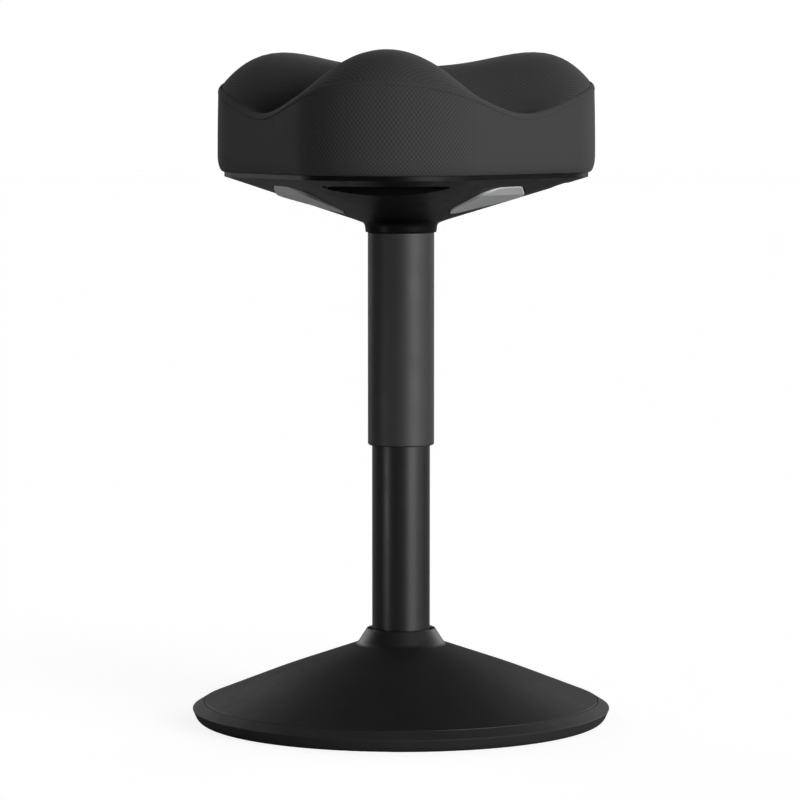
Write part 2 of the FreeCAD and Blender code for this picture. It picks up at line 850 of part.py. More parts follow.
def make_hub():
    taper_run = (socket_bottom - taper_bottom) / size.taper_length
    mouth = size.cylinder_radius - size.taper_draw * taper_run
    hub = turned("hub_bracket", [
        (mouth, socket_bottom),
        (socket_radius, socket_bottom, 1.5),
        (socket_radius, hub_flange_height, 1.8),
        (hub_flange_radius, hub_flange_height, 1.5),
        (hub_flange_radius, hub_flange_top, 1.5),
        (taper_top_radius, hub_flange_top),
        (taper_top_radius, cylinder_top),
    ])
    arm_sketch = body_sketch(hub, "hub_arm_outline", "XY_Plane", hub_flange_height)
    half = size.arm_width / 2
    arm_end = size.bolt_circle + half
    draw_outline(arm_sketch, [
        (-half, -(socket_radius + size.arm_root)),
        (-half, -arm_end, half - 0.5),
        (half, -arm_end, half - 0.5),
        (half, -(socket_radius + size.arm_root)),
    ])
    arm = padded(hub, arm_sketch, "hub_arm", size.hub_flange_thickness)
    boss_sketch = body_sketch(hub, "hub_boss_outline", "XY_Plane", hub_flange_height)
    draw_circle(boss_sketch, 0, -size.bolt_circle, half - size.boss_inset)
    boss = padded(hub, boss_sketch, "hub_boss", hub_top - hub_flange_height)
    hole_sketch = body_sketch(hub, "hub_hole_outline", "XY_Plane")
    draw_circle(hole_sketch, 0, -size.bolt_circle, size.bolt_radius + size.running_gap)
    hole = cut_through(hub, hole_sketch, "hub_hole")
    around(hub, "hub_arm_ring", [arm, boss, hole], CORNERS)
    ear_sketch = body_sketch(hub, "hub_ear_outline", "XZ_Plane", size.ear_gap / 2)
    ear_half = size.ear_width / 2
    ear_foot = hub_flange_top - size.ear_root
    for side in (1, -1):
        centre = side * size.lever_pivot
        draw_outline(ear_sketch, [
            (centre - ear_half, ear_foot),
            (centre + ear_half, ear_foot),
            (centre + ear_half, ear_top, ear_half - 0.5),
            (centre - ear_half, ear_top, ear_half - 0.5),
        ])
    ears = padded(hub, ear_sketch, "hub_front_ears", size.ear_thickness)
    doc.recompute()
    mirror = hub.newObject("PartDesign::Mirrored", "hub_rear_ears")
    mirror.Originals = [ears]
    mirror.MirrorPlane = (origin_part(hub, "XZ_Plane"), [""])
    hub.Tip = mirror
    pin_sketch = body_sketch(hub, "hub_pin_holes_outline", "XZ_Plane")
    for side in (1, -1):
        draw_circle(pin_sketch, side * size.lever_pivot, lever_pin_height, size.lever_pin_radius)
    cut_through(hub, pin_sketch, "hub_pin_holes", midplane=True)
    head_low = hub_flange_height - size.bolt_head_height
    spun_ring_group("hub_bolts", size.bolt_circle, [
        (0, head_low),
        (size.bolt_head_radius, head_low, 0.8),
        (size.bolt_head_radius, hub_flange_height),
        (size.bolt_radius, hub_flange_height),
        (size.bolt_radius, board_top - size.bolt_short, 0.6),
        (0, board_top - size.bolt_short),
    ], CORNERS)
    turn_to_front(nodes["hub_bolts"])


def turn_to_front(body):
    """Swing a ring of pieces so that its first one is at the front corner."""
    body.Placement = FreeCAD.Placement(FreeCAD.Vector(), FreeCAD.Rotation(UP, -90))


# Seat pan

def funnel_at(height):
    """Reach and corner radius of the funnel's outline at a height."""
    share = (height - funnel_bottom) / (rim_bottom - funnel_bottom)
    reach = 1 + share * (pan_corner_reach - 1)
    radius = funnel_radius + share * (pan_corner_radius - funnel_radius)
    return reach, radius


def slot_corners():
    """A bow-shaped grip slot: a chord across the corner and an arc that follows the rim."""
    peak = slot_reach + slot_arc_radius * (1 / math.cos(SLOT_SWEEP) - 1)
    half = (peak - slot_chord) / math.tan(SLOT_SWEEP)
    return [
        (-half, -slot_chord, size.slot_tip_radius),
        (half, -slot_chord, size.slot_tip_radius),
        (0, -peak, slot_arc_radius),
    ]


def paddle_corners(side):
    """The height paddle's outline from below, on one side of the stool."""
    return [
        (side * size.paddle_tip_across, -size.paddle_tip_forward, size.paddle_tip_radius),
        (side * size.paddle_nose_across, -size.paddle_nose_forward, size.paddle_nose_radius),
        (side * size.paddle_outer_across, -size.paddle_heel_forward, size.paddle_heel_radius),
        (side * size.paddle_outer_across, size.paddle_tail_back, size.paddle_tail_radius),
    ]


def body_loft(body, name, kind, levels):
    """Add or take away a ruled loft through level rounded triangles."""
    sections = []
    for place, (reach, radius, height) in enumerate(levels, start=1):
        sketch = body_sketch(body, f"{name}_level_{place}", "XY_Plane", height)
        draw_outline(sketch, rounded_triangle(reach, radius))
        sections.append(sketch)
    loft = body.newObject(kind, name)
    loft.Profile = sections[0]
    loft.Sections = sections[1:]
    loft.Ruled = True
    return loft


def cavity_levels():
    """The pan's inner wall, a wall's thickness inside its outer one."""
    rise = size.pan_wall * WALL_RISE
    inner_corner = pan_corner_radius - size.pan_wall
    return [
        (measure(1), funnel_radius, funnel_bottom + rise),
        (pan_corner_reach, inner_corner, rim_bottom + 1.0),
        (pan_corner_reach, inner_corner, pan_top + 1.0),
    ]


def make_pan():
    pan = new_body("seat_pan")
    rim = (pan_corner_reach, pan_corner_radius)
    body_loft(pan, "pan_outside", "PartDesign::AdditiveLoft", [
        (measure(1), funnel_radius, funnel_bottom),
        rim + (rim_bottom,),
        rim + (pan_top,),
    ])
    body_loft(pan, "pan_inside", "PartDesign::SubtractiveLoft", cavity_levels())
    neck_bore = neck_radius - size.pan_wall
    throat_sketch = body_sketch(pan, "pan_throat_outline", "XY_Plane", funnel_bottom - 1.0)
    draw_circle(throat_sketch, 0, 0, neck_bore)
    cut_through(pan, throat_sketch, "pan_throat")
    floor_bore = socket_radius + size.slide_gap
    floor_top = neck_bottom + size.pan_wall
    rise = size.pan_wall * WALL_RISE
    turned_feature(pan, "pan_neck", [
        (floor_bore, neck_bottom, 0.5),
        (neck_radius, neck_bottom, 1.2),
        (neck_radius + size.neck_swell, funnel_bottom - size.pan_wall, 4.5),
        (funnel_radius + 1.5, funnel_bottom + 0.2),
        (funnel_radius + 1.5, funnel_bottom + rise),
        (neck_bore, funnel_bottom + rise, 1),
        (neck_bore, floor_top),
        (floor_bore, floor_top, 0.5),
    ])
    openings_sketch = body_sketch(pan, "paddle_openings_outline", "XY_Plane")
    for side in (1, -1):
        draw_outline(openings_sketch, paddle_corners(side))
    cut_through(pan, openings_sketch, "paddle_openings")
    slot_sketch = body_sketch(pan, "grip_slot_outline", "XY_Plane")
    draw_outline(slot_sketch, slot_corners())
    slot = cut_through(pan, slot_sketch, "grip_slot")
    around(pan, "grip_slot_ring", [slot], CORNERS)
    nodes["seat_pan"] = pan


def free_profile(name, corners, start, length):
    """A solid between two upright planes, from its outline seen from the front."""
    sketch = doc.addObject("Sketcher::SketchObject", name + "_outline")
    sketch.Placement = FreeCAD.Placement(FreeCAD.Vector(), FreeCAD.Rotation(SIDEWAYS, 90))
    bind(sketch, "Placement.Base.y", start)
    draw_outline(sketch, corners)
    block = doc.addObject("Part::Extrusion", name)
    block.Base = sketch
    block.DirMode = "Custom"
    block.Dir = FORWARD
    block.Solid = True
    block.LengthFwd = measure(length).value
    bind(block, "LengthFwd", length)
    return block


def turned_about(name, piece, angle):
    """The same piece at another corner of the seat."""
    piece.Placement = FreeCAD.Placement(FreeCAD.Vector(), FreeCAD.Rotation(UP, angle))
    return keep(name, piece)


def make_grip_cups():
    """A bracket behind each grip slot, bonded to the pan and screwed up to the seat board."""
    for name, angle in (("front", 0), ("right", 120), ("left", 240)):
        cavity = lofted(f"{name}_cup_cavity", [
            level_triangle(f"{name}_cup_cavity_{place}", *level)
            for place, level in enumerate(cavity_levels(), start=1)
        ])
        inner = -(slot_chord - size.cup_overlap)
        outer = -(slot_reach + size.cup_wall + size.cup_outer_gap)
        sketch = doc.addObject("Sketcher::SketchObject", f"{name}_cup_outline")
        turn = FreeCAD.Rotation(FreeCAD.Vector(0, 1, 0), FreeCAD.Vector(0, 0, 1), FreeCAD.Vector(1, 0, 0))
        sketch.Placement = FreeCAD.Placement(FreeCAD.Vector(), turn)
        bind(sketch, "Placement.Base.x", -size.cup_half_width)
        draw_outline(sketch, [
            (inner, funnel_bottom),
            (inner + size.cup_wall, funnel_bottom),
            (inner + size.cup_wall, cup_top, 2),
            (outer, cup_top, 2),
            (outer, funnel_bottom),
            (outer + size.cup_wall, funnel_bottom),
            (outer + size.cup_wall, cup_ceiling, 2),
            (inner, cup_ceiling, 2),
        ])
        band = doc.addObject("Part::Extrusion", f"{name}_cup_band")
        band.Base = sketch
        band.DirMode = "Custom"
        band.Dir = SIDEWAYS
        band.Solid = True
        band.LengthFwd = 2 * size.cup_half_width.value
        bind(band, "LengthFwd", 2 * size.cup_half_width)
        seated = common(f"{name}_cup_seated", band, cavity)
        post_foot = cup_ceiling + size.cup_wall / 2
        posts = [seated]
        drills = []
        for side in (1, -1):
            post = upright_cylinder(f"{name}_cup_post_{side + 2}", side * size.cup_screw_across,
                                    -cup_screw_forward, post_foot, size.cup_post_radius,
                                    hub_top - post_foot)
            drill = upright_cylinder(f"{name}_cup_drill_{side + 2}", side * size.cup_screw_across,
                                     -cup_screw_forward, cup_ceiling - 1.0,
                                     size.cup_screw_radius + size.running_gap, 10)
            posts.append(post)
            drills.append(drill)
        whole = fused(f"{name}_cup_whole", posts)
        cup = cut(f"grip_cup_{name}", whole, fused(f"{name}_cup_drills", drills))
        turned_about(f"grip_cup_{name}", cup, angle)


def upright_cylinder(name, across, back, base, radius, length):
    cylinder = doc.addObject("Part::Cylinder", name)
    bind(cylinder, "Radius", radius)
    bind(cylinder, "Height", length)
    bind(cylinder, "Placement.Base.x", across)
    bind(cylinder, "Placement.Base.y", back)
    bind(cylinder, "Placement.Base.z", base)
    return cylinder


def fused(name, pieces):
    result = doc.addObject("Part::MultiFuse", name)
    result.Shapes = pieces
    return result


# Height paddles

def make_paddles():
    """A rocking paddle each side: squeezed up outside, its tongue presses the valve down."""
    plan = free_sketch("paddle_outline")
    draw_outline(plan, paddle_corners(1))
    inset = doc.addObject("Part::Offset2D", "paddle_inset")
    inset.Source = plan
    bind(inset, "Value", -size.paddle_gap)
    prism = raised("paddle_prism", inset, pan_top)
    outside = paddle_surface("paddle_outside", 0)
    inside = paddle_surface("paddle_inside", size.paddle_wall)
    shell = cut("paddle_shell", outside, inside)
    blade = common("paddle_blade", shell, prism)
    arm = make_paddle_arm(outside, prism)
    tongue_bottom = lever_pin_height - size.tongue_thickness / 2
    tongue_top = lever_pin_height + size.tongue_thickness / 2
    tongue = free_profile("paddle_tongue", [
        (size.valve_radius + size.tongue_tip_gap, tongue_bottom, 0.8),
        (size.lever_pivot, tongue_bottom),
        (size.lever_pivot, tongue_top),
        (size.valve_radius + size.tongue_tip_gap, tongue_top, 0.8),
    ], size.tongue_width / 2, size.tongue_width)
    barrel_width = size.ear_gap - 2 * size.slide_gap
    half = size.barrel_radius
    barrel = free_profile("paddle_barrel", [
        (size.lever_pivot - half, lever_pin_height - half, half - 0.2),
        (size.lever_pivot + half, lever_pin_height - half, half - 0.2),
        (size.lever_pivot + half, lever_pin_height + half, half - 0.2),
        (size.lever_pivot - half, lever_pin_height + half, half - 0.2),
    ], barrel_width / 2, barrel_width)
    bore = size.lever_pin_radius + size.running_gap
    drill = free_profile("paddle_drill", [
        (size.lever_pivot - bore, lever_pin_height - bore, bore * 0.96),
        (size.lever_pivot + bore, lever_pin_height - bore, bore * 0.96),
        (size.lever_pivot + bore, lever_pin_height + bore, bore * 0.96),
        (size.lever_pivot - bore, lever_pin_height + bore, bore * 0.96),
    ], size.ear_gap, 2 * size.ear_gap)
    whole = fused("paddle_whole", [blade, arm, tongue, barrel])
    right = keep("paddle_right", cut("paddle_right", whole, drill))
    left = doc.addObject("Part::Mirroring", "paddle_left")
    left.Source = right
    left.Normal = SIDEWAYS
    keep("paddle_left", left)
    for name, side in (("right", 1), ("left", -1)):
        make_paddle_pin(name, side)


def paddle_surface(name, lift):
    """The blade's faceted outer form: down the funnel, out past it at the crease, then flush."""
    crease_height = rim_bottom - size.paddle_crease_drop
    flush_height = rim_bottom - size.paddle_flush_drop
    crease_reach, crease_radius = funnel_at(crease_height)
    flush_reach, flush_radius = funnel_at(flush_height)
    levels = [
        (measure(1), funnel_radius, funnel_bottom),
        (crease_reach, crease_radius + size.paddle_crease_bulge, crease_height),
        (flush_reach, flush_radius, flush_height),
        (pan_corner_reach, pan_corner_radius, rim_bottom),
    ]
    return lofted(name, [
        level_triangle(f"{name}_{place}", reach, radius, height + lift)
        for place, (reach, radius, height) in enumerate(levels, start=1)
    ])


def make_paddle_arm(outside, prism):
    """The rib that joins the blade to its barrel, clear of the pan beside the opening."""
    inner = size.lever_pivot
    outer = size.paddle_outer_across - size.arm_setback
    band = free_sketch("paddle_arm_plan")
    draw_outline(band, [
        (inner, size.tongue_width / 2),
        (inner, -size.tongue_width),
        (inner + 9.0, -size.tongue_width, 3),
        (inner + 24.0, -26.0, 4),
        (outer, -26.0, 3),
        (outer, -8.0, 3),
        (inner + 22.0, 0, 6),
    ])
    column = raised("paddle_arm_column", band, pan_top)
    bottom = lever_pin_height - size.barrel_radius
    upper = free_profile("paddle_arm_side", [
        (inner, bottom),
        (inner + size.arm_reach, bottom, 6),
        (outer, lever_top - size.arm_taper),
        (outer, lever_top, 1),
        (inner, lever_top),
    ], size.ear_gap, 3 * size.ear_gap)
    bridge = common("paddle_arm_bridge", column, upper)
    block = free_profile("paddle_rib_side", [
        (inner + size.rib_offset, funnel_bottom),
        (outer, funnel_bottom),
        (outer, lever_top - size.rib_drop),
        (inner + size.rib_offset, lever_top - size.rib_drop),
    ], size.ear_gap, 3 * size.ear_gap)
    rib = common("paddle_rib_plan", common("paddle_rib_block", block, column), prism)
    return fused("paddle_arm", [bridge, common("paddle_rib", rib, outside)])


def make_paddle_pin(name, side):
    length = size.ear_gap + 2 * (size.ear_thickness + size.pin_overhang)
    pin = doc.addObject("Part::Cylinder", f"pivot_pin_{name}")
    bind(pin, "Radius", size.lever_pin_radius)
    bind(pin, "Height", length)
    pin.Placement = FreeCAD.Placement(FreeCAD.Vector(), FreeCAD.Rotation(SIDEWAYS, 90))
    bind(pin, "Placement.Base.x", side * size.lever_pivot)
    bind(pin, "Placement.Base.y", length / 2)
    bind(pin, "Placement.Base.z", lever_pin_height)
    keep(f"pivot_pin_{name}", pin)


# Seat board

def make_board():
    board = new_body("seat_board")
    sketch = body_sketch(board, "board_outline", "XY_Plane", board_bottom)
    draw_outline(sketch, rounded_triangle(size.cushion_corner_reach,
                                          size.cushion_corner_radius - size.board_inset))
    padded(board, sketch, "board_slab", size.board_thickness)
    doc.recompute()
    nut_sketch = body_sketch(board, "board_nut_hole_outline", "XY_Plane")
    draw_circle(nut_sketch, 0, -size.bolt_circle, size.nut_barrel_radius)
    nut_hole = cut_through(board, nut_sketch, "board_nut_hole")
    flange_sketch = body_sketch(board, "board_nut_seat_outline", "XY_Plane",
                                board_top - size.nut_flange)
    draw_circle(flange_sketch, 0, -size.bolt_circle, size.nut_flange_radius)
    nut_seat = cut_through(board, flange_sketch, "board_nut_seat")
    pilot_sketch = body_sketch(board, "board_pilot_outline", "XY_Plane")
    for side in (1, -1):
        draw_circle(pilot_sketch, side * size.cup_screw_across, -cup_screw_forward,
                    size.cup_screw_radius)
    pilots = cut_through(board, pilot_sketch, "board_pilots")
    around(board, "board_hole_ring", [nut_hole, nut_seat, pilots], CORNERS)
    nodes["seat_board"] = board
    bore = size.bolt_radius + size.running_gap
    nuts = spun_ring_group("tee_nuts", size.bolt_circle, [
        (bore, board_bottom + size.nut_rise),
        (size.nut_barrel_radius, board_bottom + size.nut_rise, 0.5),
        (size.nut_barrel_radius, board_top - size.nut_flange),
        (size.nut_flange_radius, board_top - size.nut_flange),
        (size.nut_flange_radius, board_top, 0.5),
        (bore, board_top),
    ], CORNERS)
    turn_to_front(nuts)
    make_cup_screws()


def make_cup_screws():
    """Two screws up through each grip bracket into the board."""
    shank_foot = cup_ceiling - size.cup_screw_head / 2
    turns = []
    for corner in range(CORNERS):
        for side in (1, -1):
            name = f"cup_screw_{corner}_{side + 2}"
            spot = (side * size.cup_screw_across, -cup_screw_forward)
            head = upright_cylinder(name + "_head", *spot, cup_ceiling - size.cup_screw_head,
                                    size.cup_screw_radius * 2, size.cup_screw_head)
            shank = upright_cylinder(name + "_shank", *spot, shank_foot, size.cup_screw_radius,
                                     board_top - size.cup_screw_short - shank_foot)
            screw = fused(name, [head, shank])
            screw.Placement = FreeCAD.Placement(FreeCAD.Vector(),
                                                FreeCAD.Rotation(UP, corner * 120))
            turns.append(screw)
    group = doc.addObject("Part::Compound", "cup_screws")
    group.Links = turns
    keep("cup_screws", group)


# Cushion: foam in a sewn cover of a crowned top panel and a side band

def crown(share, angle):
    """Height of the three-lobed top, by share of the way out and angle from the front."""
    bowl = size.crown_rise.value * share ** 2 - size.crown_fall.value * share ** 4
    lobes = size.lobe_rise.value * share ** 2 - size.lobe_fall.value * share ** 5
    return crown_height.value + bowl + lobes * math.cos(CORNERS * angle)


def ring(share, inset, height):
    """One closed line round the cushion: three corner arcs in quarters, and three sides."""
    reach = size.cushion_corner_reach.value * share
    radius = (size.cushion_corner_radius.value - inset) * share
    spots = []
    for corner in range(CORNERS):
        facing = math.radians(120 * corner - 90)
        centre = FreeCAD.Vector(reach * math.cos(facing), reach * math.sin(facing), 0)
        for step in range(-4, 5):
            turn = facing + math.radians(15 * step)
            spots.append(centre + FreeCAD.Vector(math.cos(turn), math.sin(turn), 0) * radius)
        ahead = math.radians(120 * (corner + 1) - 90)
        next_centre = FreeCAD.Vector(reach * math.cos(ahead), reach * math.sin(ahead), 0)
        edge = facing + math.radians(60)
        offset = FreeCAD.Vector(math.cos(edge), math.sin(edge), 0) * radius
        spots.append((centre + next_centre) / 2 + offset)
    for spot in spots:
        angle = math.atan2(spot.x, -spot.y)
        spot.z = height(share, angle)
    edges = []
    for start in range(0, len(spots), 2):
        first, middle, last = spots[start], spots[start + 1], spots[(start + 2) % len(spots)]
        bow = (last - first).cross(middle - first).Length / (last - first).Length
        if bow < STRAIGHT:
            edges.append(Part.LineSegment(first, last).toShape())
        else:
            edges.append(Part.Arc(first, middle, last).toShape())
    return Part.Wire(edges)


def level(height):
    return lambda share, angle: height


def crown_rings(inset):
    """From the seam up and in to the middle of the top."""
    shares = (1.0, 0.96, 0.9, 0.8, 0.66, 0.5, 0.34, 0.18)
    drop = inset

    def height(share, angle):
        return crown(share, angle) - drop

    rings = [ring(share, inset + size.cushion_lean.value, height) for share in shares]
    return rings + [Part.Vertex(0, 0, crown(0, 0) - drop)]


def side_rings(inset):
    """From the bottom edge, round the roll and up to just below the seam."""
    rings = []
    for degrees in (0, 22, 45, 67, 90):
        turn = math.radians(degrees)
        draw = size.cushion_draw.value * (1 - math.sin(turn))
        rise = size.cushion_roll.value * (1 - math.cos(turn))
        height = size.cushion_bottom.value + inset + rise
        rings.append(ring(1.0, inset + draw, level(height)))
    return rings


def skins_between(pieces):
    """Ruled faces from each ring to the next; the last piece may be a point."""
    faces = []
    for here, ahead in zip(pieces, pieces[1:]):
        if isinstance(ahead, Part.Vertex):
            faces.extend(Part.makeLoft([here, ahead], False, True).Faces)
        else:
            faces.extend(Part.makeRuledSurface(here, ahead).Faces)
    return faces


def closed_solid(faces):
    shell = Part.makeShell(faces)
    shell.sewShape()
    solid = Part.makeSolid(shell)
    if solid.Volume < 0:
        solid.reverse()
    return solid


def formed(name, shape):
    """A sewn or moulded form worked out from the sheet's sizes."""
    piece = doc.addObject("Part::Feature", name)
    piece.Shape = shape
    return keep(name, piece)


def make_cushion():
    skin = size.cover_thickness.value
    outer_side = side_rings(0)
    outer_crown = crown_rings(0)
    inner_side = side_rings(skin)
    inner_crown = crown_rings(skin)
    lip = size.cushion_draw.value + size.cover_return.value
    lip_low = ring(1.0, lip, level(size.cushion_bottom.value))
    lip_high = ring(1.0, lip, level(size.cushion_bottom.value + skin))
    band = [lip_low] + outer_side + [outer_crown[0], inner_crown[0]]
    band = band + inner_side[::-1] + [lip_high, lip_low]
    formed("cover_side", closed_solid(skins_between(band)))
    outside = skins_between(outer_crown)
    inside = skins_between(inner_crown)
    edge = skins_between([outer_crown[0], inner_crown[0]])
    formed("cover_top", closed_solid(outside + inside + edge))
    slack = skin + size.seat_gap.value
    pocket = size.board_inset.value - size.seat_gap.value
    recess_top = ring(1.0, pocket, level(board_top.value + size.seat_gap.value))
    recess_bottom = ring(1.0, pocket, level(size.cushion_bottom.value + slack))
    foam = [recess_top, recess_bottom] + side_rings(slack) + crown_rings(slack)
    formed("cushion_foam", closed_solid([Part.Face(recess_top)] + skins_between(foam)))


def failed(item):
    return "Invalid" in item.State or "Error" in item.State


def write_parts():
    """Every piece is checked before the first file is written."""
    doc.recompute()
    faults = [item.Name for item in doc.Objects if failed(item)]
    for name, piece in nodes.items():
        shape = piece.Shape
        if shape.isNull() or not shape.isValid() or not shape.Solids or shape.Volume <= 0:
            faults.append(name)
    if faults:
        raise RuntimeError("failed: " + ", ".join(faults))
    os.makedirs("parts", exist_ok=True)
    for name, piece in nodes.items():
        piece.Shape.exportStep(f"parts/{name}.step")
        print(name, len(piece.Shape.Solids), round(piece.Shape.Volume))


make_base()
make_column()
make_gas_spring()
make_sleeve()
make_hub()
make_pan()
make_grip_cups()
make_paddles()
make_board()
make_cushion()
write_parts()
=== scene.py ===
import bisect
import json
import math

import bmesh
import bpy
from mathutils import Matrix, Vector
from mathutils.kdtree import KDTree


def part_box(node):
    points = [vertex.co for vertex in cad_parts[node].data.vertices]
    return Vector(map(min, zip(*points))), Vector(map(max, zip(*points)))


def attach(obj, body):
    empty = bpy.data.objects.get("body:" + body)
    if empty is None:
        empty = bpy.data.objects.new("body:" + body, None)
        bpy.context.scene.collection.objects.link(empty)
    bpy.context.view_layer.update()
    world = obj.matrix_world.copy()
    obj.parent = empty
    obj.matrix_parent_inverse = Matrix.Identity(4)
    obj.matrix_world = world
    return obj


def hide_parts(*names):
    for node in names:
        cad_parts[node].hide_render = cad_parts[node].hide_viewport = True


# Perch stool: finishes, sewn cushion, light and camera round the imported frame. Metres, +Z up.
# The seat's front corner points toward -Y.

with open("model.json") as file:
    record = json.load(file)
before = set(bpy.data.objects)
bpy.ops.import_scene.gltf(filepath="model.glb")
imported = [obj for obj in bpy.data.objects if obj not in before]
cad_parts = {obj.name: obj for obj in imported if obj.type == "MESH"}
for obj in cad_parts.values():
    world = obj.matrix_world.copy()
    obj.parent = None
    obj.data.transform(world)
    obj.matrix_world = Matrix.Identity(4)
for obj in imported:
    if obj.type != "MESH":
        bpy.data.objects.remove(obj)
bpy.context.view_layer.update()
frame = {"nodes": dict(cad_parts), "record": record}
MM = 0.001
CORNERS = 3

# The camera, worked out from the photograph's perspective
CAMERA_LENS = 171.5
CAMERA_SENSOR = 36.0
CAMERA_DISTANCE = 3.6351
CAMERA_HEIGHT = 0.5901
CAMERA_AZIMUTH = math.radians(5.5)
CAMERA_PITCH = math.radians(4.44)
CAMERA_YAW = math.radians(0.015)
CAMERA_SIGHT = 50

# Studio: the camera sees a white room, and the stool is lit by a dimmer one
FLOOR_SIZE = 60
FLOOR_PAINT = 0.35
FLOOR_GLOW = 0.86
FLOOR_BOUNCE = 0.42
ROOM_LIGHT = 0.035
BACKDROP_LIGHT = 1.0

# Far softboxes: name, azimuth from the camera, elevation and spread in degrees, power
SOFTBOXES = (
    ("key_light", 46, 4, 38, 4.2),
    ("side_light", 84, 3, 26, 0.7),
    ("top_light", 30, 50, 15, 0.12),
    ("left_rim_light", -140, 18, 40, 0.8),
    ("right_rim_light", 140, 18, 40, 0.8),
)
PANEL_PLACE = (-0.9, -0.7, 0.09)
PANEL_TARGET = (-0.05, -0.03, 0.5)
PANEL_SIZE = 0.3
PANEL_POWER = 1.5

# The cushion's outline from above, from the frame: corner arcs at a reach from the axis
side_low, side_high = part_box("cover_side")
COVER_EASE = 0.3 * MM
REAR_LEFT_CORNER = 150
COS_30 = math.cos(math.radians(30))
CORNER_REACH = (-side_low.y - side_high.x) / (1 - COS_30)
CORNER_RADIUS = -side_low.y - CORNER_REACH - COVER_EASE
CUSHION_BOTTOM = side_low.z

# Its crown, by share of the way out to the seam
CROWN_HEIGHT = 0.62461
CROWN_DOME = (-0.04555, 0.04798, -0.02965)
LOBE_RISE = 0.07326
LOBE_SWELL = 0.01911
LOBE_FALL = 0.07637
PANEL_CORNER_RADIUS = 92.6 * MM
SEAM_INSET = CORNER_RADIUS - PANEL_CORNER_RADIUS
SEAM_HEIGHT = CROWN_HEIGHT + sum(CROWN_DOME)
SEAM_WAVE = LOBE_RISE + LOBE_SWELL - LOBE_FALL
SEAM_DIP = 1.1 * MM
SEAM_DIP_SHARE = 0.012

# Its side band, and the pocket below for the seat board
BOTTOM_DRAW = 5.7 * MM
BOTTOM_ROLL = 16.0 * MM
ROLL_STEPS = 8
LIP_INSET = 25.7 * MM
LIP_THICKNESS = 2.1 * MM
BOARD_POCKET = 19.5 * MM
BOARD_GAP = 0.3 * MM

# The seam, as (inset, rise from the seam line): band, stitch groove, rolled edge and crease
SEAM_PROFILE = (
    (0.70, -12.0), (0.75, -9.0), (0.80, -7.2), (0.85, -6.6), (1.00, -6.35), (1.90, -6.1),
    (1.90, -5.9), (0.75, -5.7), (0.55, -5.3), (0.55, -4.6), (0.70, -3.6), (1.10, -2.4),
    (1.70, -1.4), (2.50, -0.6), (3.20, -0.15), (3.75, -0.1), (4.10, -0.4), (4.30, -1.3),
    (4.45, -1.7),
)

# Rows of the skin: steps round each corner and side, rows up the band, rows over the top
ARC_STEPS = 84
SIDE_STEPS = 66
BAND_ROWS = 14
TOP_SHARES = (
    1.0, 0.996, 0.99, 0.98, 0.965, 0.945, 0.92, 0.89, 0.86, 0.82, 0.78, 0.73, 0.68, 0.63, 0.58,
    0.53, 0.48, 0.43, 0.38, 0.33, 0.28, 0.23, 0.18, 0.13, 0.08, 0.04,
)

# The cloth simulation of the cover, on a coarse copy of the skin
COARSE_ARC_STEPS = 20
COARSE_SIDE_STEPS = 14
COARSE_BAND_ROWS = 8
COARSE_SEAM_STRIDE = 6
COARSE_TOP_STRIDE = 2
HELD_ROLL_SHARE = 0.6
HELD_BY_SEAM = 7 * MM
HELD_OUT_SHARE = 0.94
CLOTH_QUALITY = 6
CLOTH_MASS = 0.3
CLOTH_STIFFNESS = 25
CLOTH_BENDING = 4
CLOTH_PRESSURE = 4
CLOTH_FRAMES = 20
SWELL_CAP = 0.9 * MM
SWELL_REACH = 9.0 * MM
SWELL_NEIGHBOURS = 12
SMALLEST_WEIGHT = 1e-6

# The topstitch under the seam
STITCH_DROP = 6.0 * MM
STITCH_INSET = 1.3 * MM
STITCH_LENGTH = 3.0 * MM
STITCH_GAP = 0.7 * MM
STITCH_RINGS = 5
THREAD_RADIUS = 0.32 * MM
THREAD_SIDES = 6
THREAD_TIP_SHARE = 0.45

# The diamond weave of the cover, as the spacing between its rows
WEAVE_PITCH = 2.05 * MM


# Camera, floor and lights

def add_camera():
    data = bpy.data.cameras.new("camera")
    data.lens = CAMERA_LENS
    data.sensor_width = CAMERA_SENSOR
    data.clip_end = CAMERA_SIGHT
    camera = bpy.data.objects.new("camera", data)
    bpy.context.scene.collection.objects.link(camera)
    camera.location = (
        CAMERA_DISTANCE * math.sin(CAMERA_AZIMUTH),
        -CAMERA_DISTANCE * math.cos(CAMERA_AZIMUTH),
        CAMERA_HEIGHT,
    )
    camera.rotation_euler = (math.pi / 2 - CAMERA_PITCH, 0, CAMERA_AZIMUTH + CAMERA_YAW)
    bpy.context.scene.camera = camera


def add_softbox(name, azimuth, elevation, spread, power):
    """A far light, as wide as its spread. Azimuth 0 is the camera's side, 90 its right."""
    data = bpy.data.lights.new(name, "SUN")
    data.angle = math.radians(spread)
    data.energy = power
    light = bpy.data.objects.new(name, data)
    bpy.context.scene.collection.objects.link(light)
    around = math.radians(azimuth) + CAMERA_AZIMUTH
    up = math.radians(elevation)
    back = Vector((math.sin(around) * math.cos(up), -math.cos(around) * math.cos(up), math.sin(up)))
    light.location = back * 3
    light.rotation_euler = back.to_track_quat("Z", "Y").to_euler()


def add_low_panel():
    """A soft panel near the floor, for the pan and the paddles seen from below."""
    light = bpy.data.lights.new("low_panel", "AREA")
    light.shape = "SQUARE"
    light.size = PANEL_SIZE
    light.energy = PANEL_POWER
    panel = bpy.data.objects.new("low_panel", light)
    panel.location = PANEL_PLACE
    facing = Vector(PANEL_PLACE) - Vector(PANEL_TARGET)
    panel.rotation_euler = facing.to_track_quat("Z", "Y").to_euler()
    panel.visible_camera = False
    bpy.context.scene.collection.objects.link(panel)


